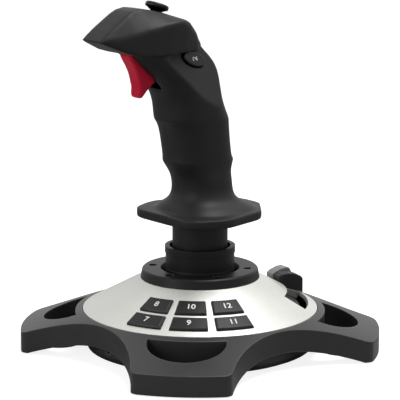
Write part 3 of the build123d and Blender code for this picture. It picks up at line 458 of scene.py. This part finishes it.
# %% [markdown]
# ## Two halves again
# The real shells are moulded one by one and screwed together, and their seam shows as a fine line.
# A knife on the middle plane gives it: the relaxed grip is copied, cut once for each side, and the
# open cut is filled with a flat wall. A small bevel on the wall's outer edge then makes the line's
# groove.

# %% Cut the halves
SEAM_OFFSET = 0.02 * MM     # each half stops this far from the middle plane
SEAM_BEVEL = 0.35 * MM
SEAM_ANGLE = 0.8            # in radians: edges of the wall that turn less get no bevel
CUT_REACH = 0.0001 * MM


def seam_half(side, name):
    """The grip on one side of the seam, closed with a flat wall there."""
    piece = grip.copy()
    everything = piece.verts[:] + piece.edges[:] + piece.faces[:]
    cut = bmesh.ops.bisect_plane(piece, geom=everything, dist=CUT_REACH,
                                 plane_co=(side * SEAM_OFFSET, 0, 0), plane_no=(side, 0, 0),
                                 clear_inner=True)["geom_cut"]
    rim = [part for part in cut if isinstance(part, bmesh.types.BMEdge)]
    for face in piece.faces:
        face.smooth = True
    bmesh.ops.triangle_fill(piece, edges=rim, normal=(-side, 0, 0), use_beauty=False)
    bmesh.ops.recalc_face_normals(piece, faces=piece.faces)
    for edge in rim:
        edge.smooth = False
    corner = [edge for edge in rim if edge.calc_face_angle(0) > SEAM_ANGLE]
    groove = bmesh.ops.bevel(piece, geom=corner, affect="EDGES", offset=SEAM_BEVEL, segments=1,
                             profile=0.5, material=-1, clamp_overlap=True)
    for face in groove["faces"]:
        face.smooth = False
    open_edges = [edge for edge in piece.edges if not edge.is_manifold]
    print(name, "faces:", len(piece.faces), "open edges:", len(open_edges))
    return placed(piece, name)


halves = ((-1, "grip_left", "grip_shell_left"), (1, "grip_right", "grip_shell_right"))
for side, node, name in halves:
    shell = seam_half(side, name)
    wear(shell, grip_black)
    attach(shell, "grip")
    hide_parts(node)

# %% [markdown]
# ## The trigger
# The real trigger is a hook whose front is hollowed for a finger and rounded over to its sides.
# The same even faces and a few dozen rounds of relaxing turn the flat-sided solid into it, with
# more rounds on the tip. The points round the pin hole stay where the CAD has them.

# %% Relax the trigger
PIN_REACH = 4 * MM          # points this near to the pin's axis aren't relaxed
TIP_HEIGHT = 9 * MM
HOOK_ROUNDS, TIP_ROUNDS = 24, 70

pin_low, pin_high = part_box("trigger_pin")
pin_middle = (pin_low + pin_high) / 2
hook_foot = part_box("trigger")[0].z
hook = evenly_faced(merged("trigger"), 0.4 * MM)
loose = [point for point in hook.verts if (point.co.yz - pin_middle.yz).length > PIN_REACH]
tip = [point for point in loose if point.co.z < hook_foot + TIP_HEIGHT]
for points, rounds in ((loose, HOOK_ROUNDS), (tip, TIP_ROUNDS)):
    for turn in range(rounds):
        relax(hook, points)
for face in hook.faces:
    face.smooth = True
print("trigger faces:", len(hook.faces))
trigger_hook = placed(hook, "trigger_hook")
wear(trigger_hook, trigger_red)
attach(trigger_hook, "trigger")
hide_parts("trigger")

# %% [markdown]
# ## The thumb hat
# The hat's cap is a thick button with a rounded rim and a dish for the thumb, on a narrow stem. It
# is round, so half of its outline is drawn once and spun about the hat's own axis, which leans
# with the head. The axis comes from the two joints that the hat tips on: it is square to both. The
# pin lies along the joint that tips it left and right.

# %% Spin the hat
HAT_STEPS = 56
PIN_RADIUS, PIN_LENGTH, PIN_SIDES = 0.8 * MM, 9.8 * MM, 20
# Radius and height above the pivot, in millimetres: foot, stem, underside, rim and dish.
HAT_OUTLINE = [(0, -1.3), (2.4, -1.3), (2.4, 4.4), (3.2, 5.6), (5.4, 7.0), (6.7, 7.5), (7.0, 8.0),
               (7.0, 9.3), (6.7, 9.9), (6.2, 10.2), (5.5, 10.1), (4.6, 9.6), (3.0, 9.2), (0, 9.1)]

joints = {joint["name"]: joint for joint in frame["joints"]}
pivot = Vector(joints["hat_fore_aft"]["pos_m"])
sideways = Vector(joints["hat_fore_aft"]["axis"])
across = Vector(joints["hat_left_right"]["axis"])
stem = sideways.cross(across).normalized()
cap = bmesh.new()
points = [cap.verts.new(pivot + sideways * radius * MM + stem * height * MM)
          for radius, height in HAT_OUTLINE]
edges = [cap.edges.new(pair) for pair in zip(points, points[1:])]
bmesh.ops.spin(cap, geom=points + edges, cent=pivot, axis=stem, dvec=(0, 0, 0),
               angle=2 * math.pi, steps=HAT_STEPS, use_merge=True)
bmesh.ops.remove_doubles(cap, verts=cap.verts, dist=0.005 * MM)
pin_place = Matrix.Translation(pivot) @ across.to_track_quat("Z", "Y").to_matrix().to_4x4()
bmesh.ops.create_cone(cap, cap_ends=True, segments=PIN_SIDES, radius1=PIN_RADIUS,
                      radius2=PIN_RADIUS, depth=PIN_LENGTH, matrix=pin_place)
bmesh.ops.recalc_face_normals(cap, faces=cap.faces)
for face in cap.faces:
    face.smooth = len(face.verts) <= 4
open_edges = [edge for edge in cap.edges if not edge.is_manifold]
print("hat faces:", len(cap.faces), "open edges:", len(open_edges))
hat_button = placed(cap, "hat_button")
wear(hat_button, thumb_black)
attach(hat_button, "hat")
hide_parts("hat_cap")

# %% [markdown]
# ## Printed numbers
# The keys, the head buttons and the thumb button carry plain white numbers. Each is a text object
# turned into a thin mesh, so that it stands a few hundredths of a millimetre off the key, as
# pad-printed ink does. One helper finds the face to print on: the middle and the facing of a
# node's outermost faces in a given direction. The other drops each point of the number onto that
# face.

# %% The printing helpers
SAME_WAY = 0.985            # the least cosine between a direction and a face that looks along it
CAP_HEIGHT = 0.7            # a capital's height as a share of the text's size
INK_HEIGHT = 0.05 * MM
INK_SINK = 0.01 * MM
DROP = 3 * MM               # the points are dropped from this far above the face


def crown(node, facing, depth):
    """Middle and normal of a node's faces that look along `facing` and lie furthest that way."""
    facing = Vector(facing).normalized()
    faces = [face for face in nodes[node].data.polygons if face.normal.dot(facing) > SAME_WAY]
    reach = max(face.center.dot(facing) for face in faces)
    faces = [face for face in faces if face.center.dot(facing) > reach - depth]
    area = sum(face.area for face in faces)
    middle = sum((face.center * face.area for face in faces), Vector()) / area
    return middle, sum((face.normal * face.area for face in faces), Vector()).normalized()


def printed(number, body, facing, upward, height, weight=0.05 * MM, depth=0.25 * MM):
    """A number, upright along `upward`, on a button whose node and body have one name."""
    name = f"number_{number}"
    middle, normal = crown(body, facing, depth)
    text = bpy.data.curves.new(name, "FONT")
    text.body, text.size = str(number), height / CAP_HEIGHT
    text.align_x = text.align_y = "CENTER"
    text.extrude, text.offset, text.resolution_u = INK_HEIGHT, weight, 6
    holder = bpy.data.objects.new(name, text)
    bpy.context.scene.collection.objects.link(holder)
    mesh = bpy.data.meshes.new_from_object(holder)
    bpy.data.objects.remove(holder)
    surface = BVHTree.FromObject(nodes[body], bpy.context.evaluated_depsgraph_get())
    up = (Vector(upward) - normal * normal.dot(Vector(upward))).normalized()
    across = up.cross(normal)
    for point in mesh.vertices:
        above = middle + across * point.co.x + up * point.co.y + normal * DROP
        landed = surface.ray_cast(above, -normal)[0]
        point.co = landed + normal * (point.co.z - INK_SINK)
    piece = bpy.data.objects.new(name, mesh)
    bpy.context.scene.collection.objects.link(piece)
    wear(piece, ink_white)
    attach(piece, body)
    print(name, "points:", len(mesh.vertices))


# %% [markdown]
# ## Where the numbers go
# The six keys look outwards from the dome's cone, and their numbers stand upright for someone in
# front of them. The four head buttons look back and up, square to the head's rear face, and the
# thumb button looks out to the left. The trigger is the first button, and has no number.

# %% Print the numbers
DOME_LEAN = math.radians(28.2)                          # how far the dome's side falls outwards
THUMB_FACING = (-0.907, -0.236, 0.346)

for number in range(7, 13):
    low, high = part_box(f"key_{number}")
    outward = Vector((*((low + high) / 2).xy, 0)).normalized()
    facing = outward * math.sin(DOME_LEAN) + Vector((0, 0, math.cos(DOME_LEAN)))
    printed(number, f"key_{number}", facing, -outward, 3.9 * MM, weight=0.09 * MM, depth=0.5 * MM)

middles = {number: sum(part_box(f"head_button_{number}"), Vector()) / 2 for number in range(3, 7)}
down = ((middles[5] + middles[6]) - (middles[3] + middles[4])).normalized()
rear_facing = down.cross(Vector((1, 0, 0)))
for number in range(3, 7):
    printed(number, f"head_button_{number}", rear_facing, -down, 2.6 * MM)

printed(2, "thumb_button", THUMB_FACING, (0, 1, 0), 4.2 * MM)

# %% [markdown]
# ## The camera
# The camera stands in front of the joystick and to its left, a little above the table. It is far
# away and has a long lens, so near and far parts keep nearly the same scale.

# %% The camera
CAMERA_TURN, CAMERA_RISE = math.radians(230.9), math.radians(11.7)
CAMERA_FAR = 1.24
AIM = Vector((0, 0, 0.0915))

back = Vector((math.sin(CAMERA_TURN) * math.cos(CAMERA_RISE),
               -math.cos(CAMERA_TURN) * math.cos(CAMERA_RISE),
               math.sin(CAMERA_RISE)))
camera = bpy.data.objects.new("camera", bpy.data.cameras.new("camera"))
camera.data.lens, camera.data.sensor_width = 184.8, 36
camera.location = AIM + back * CAMERA_FAR
camera.rotation_euler = (-back).to_track_quat("-Z", "Y").to_euler()
bpy.context.scene.collection.objects.link(camera)
bpy.context.scene.camera = camera
print("camera at", [round(x, 3) for x in camera.location])

# %% [markdown]
# ## The lamps
# One large soft lamp stands high on the camera's right and gives the dome its sheen. A weaker one
# on the camera's left fills the shadows. Both are squares, because a large square lamp has soft
# shadows.

# %% The lamps
right = Vector((0, 0, 1)).cross(back).normalized()
level = Vector((*back.xy, 0)).normalized()


def lamp(name, across, rise, near, power, size):
    """A square soft lamp, placed to the camera's right, up, and towards the camera."""
    light = bpy.data.lights.new(name, "AREA")
    light.energy, light.size = power, size
    holder = bpy.data.objects.new(name, light)
    holder.location = AIM + right * across + Vector((0, 0, rise)) + level * near
    holder.rotation_euler = (AIM - holder.location).to_track_quat("-Z", "Y").to_euler()
    bpy.context.scene.collection.objects.link(holder)
    print(name, "at", [round(x, 2) for x in holder.location], "watts:", power)


lamp("key_lamp", across=0.35, rise=1.15, near=0.05, power=15.0, size=0.7)
lamp("fill_lamp", across=-0.9, rise=0.35, near=0.6, power=3.0, size=0.6)

# %% [markdown]
# ## The surround
# The world does two jobs. It lights the joystick weakly and evenly from all sides, and it is the
# white that the camera, a reflection or glass sees behind it. Light Path tells which kind of ray
# asks, and a Mix Shader answers.

# %% The surround
SURROUND_STRENGTH = 0.22
WHITE = (1, 1, 1, 1)

world = bpy.data.worlds.new("surround")
bpy.context.scene.world = world
world.use_nodes = True
tree = world.node_tree
tree.nodes.clear()
seen, lighting = tree.nodes.new("ShaderNodeBackground"), tree.nodes.new("ShaderNodeBackground")
for background, strength in ((seen, 1.0), (lighting, SURROUND_STRENGTH)):
    background.inputs["Color"].default_value = WHITE
    background.inputs["Strength"].default_value = strength
path, either, shiny, mix, out = (tree.nodes.new("ShaderNode" + kind) for kind in (
    "LightPath", "Math", "Math", "MixShader", "OutputWorld"))
either.operation = shiny.operation = "MAXIMUM"
tree.links.new(path.outputs["Is Camera Ray"], either.inputs[0])
tree.links.new(path.outputs["Is Transmission Ray"], either.inputs[1])
tree.links.new(either.outputs[0], shiny.inputs[0])
tree.links.new(path.outputs["Is Glossy Ray"], shiny.inputs[1])
tree.links.new(shiny.outputs[0], mix.inputs[0])
tree.links.new(lighting.outputs[0], mix.inputs[1])
tree.links.new(seen.outputs[0], mix.inputs[2])
tree.links.new(mix.outputs[0], out.inputs[0])
print("nodes in the surround:", len(tree.nodes))

# %% [markdown]
# ## The floor
# A floor that is white to every ray throws much light up into the base's openings. So it is grey
# paper to the light, and the camera alone sees it lifted to white by some emission. It still keeps
# the joystick's shadow.

# %% The floor
FLOOR_HALF = 6.0
PAPER_GREY = 0.42
LIFT = 0.86

sheet = bmesh.new()
bmesh.ops.create_grid(sheet, x_segments=1, y_segments=1, size=FLOOR_HALF)
floor = placed(sheet, "floor")
paper = Finish("white_paper", Roughness=0.9)
paper.set({"Base Color": (PAPER_GREY, PAPER_GREY, PAPER_GREY, 1), "Specular IOR Level": 0.1})
glow = paper.node("ShaderNodeEmission", {}, {"Strength": LIFT})
lifted = paper.node("ShaderNodeAddShader", {}, {1: glow})
paper.tree.links.new(paper.shader.outputs[0], lifted.socket.node.inputs[0])
to_camera = paper.node("ShaderNodeLightPath", output="Is Camera Ray")
shown = paper.node("ShaderNodeMixShader", {}, {0: to_camera, 2: lifted})
paper.tree.links.new(paper.shader.outputs[0], shown.socket.node.inputs[1])
paper.tree.links.new(shown.socket, paper.tree.nodes["Material Output"].inputs["Surface"])
wear(floor, paper.material)

bpy.context.scene.view_settings.view_transform = "Standard"
print("floor:", FLOOR_HALF * 2, "m square")
